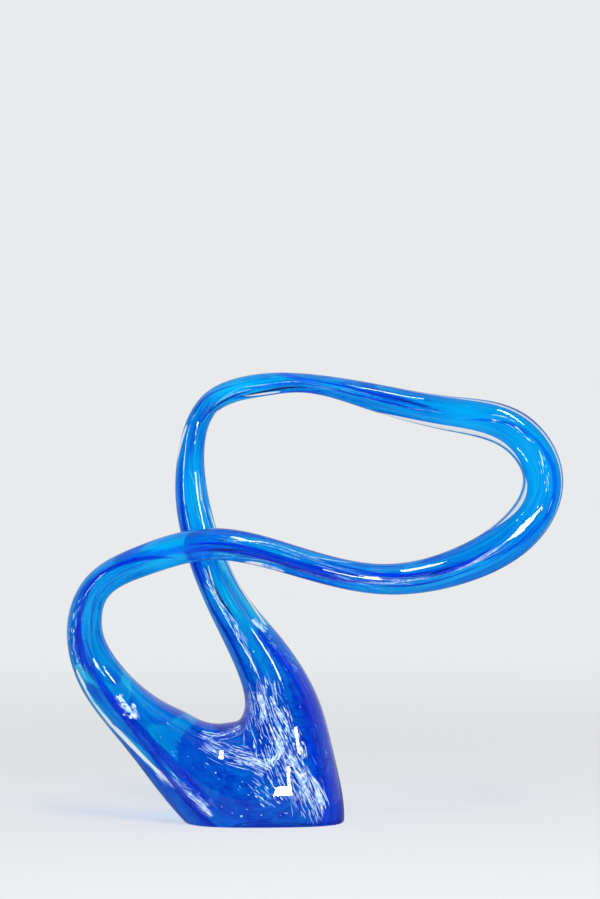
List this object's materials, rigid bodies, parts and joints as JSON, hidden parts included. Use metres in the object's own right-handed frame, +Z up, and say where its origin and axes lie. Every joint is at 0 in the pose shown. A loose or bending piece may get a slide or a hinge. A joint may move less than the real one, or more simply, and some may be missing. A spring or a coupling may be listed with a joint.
{
  "type": "glass wave sculpture",
  "caption": "Free-standing art glass sculpture: a blue and clear cased glass rod sweeps out of a heavy forked foot, round a wave-shaped loop and back into the foot.",
  "frame": {"origin": "middle of the ground flat under the foot, on the surface the sculpture stands on", "axes": "+X to the right as seen in the picture, along the sweep of the loop; +Y away from the viewer; +Z up"},
  "size_m": [0.4017, 0.098, 0.3645],
  "materials": {
    "clear_glass": "fire-polished clear casing glass",
    "blue_glass": "transparent blue glass sealed under the casing",
    "cobalt_glass": "dense cobalt blue glass drawn into streaks",
    "white_glass": "opaque white glass drawn into fine streaks"
  },
  "bodies": {
    "root": {"foot_core": "blue_glass", "foot_casing": "clear_glass", "foot_cobalt_bands": "cobalt_glass", "foot_white_streaks": "white_glass", "loop_core": "blue_glass", "loop_casing": "clear_glass", "loop_cobalt_trails": "cobalt_glass", "loop_white_threads": "white_glass"}
  },
  "joints": []
}
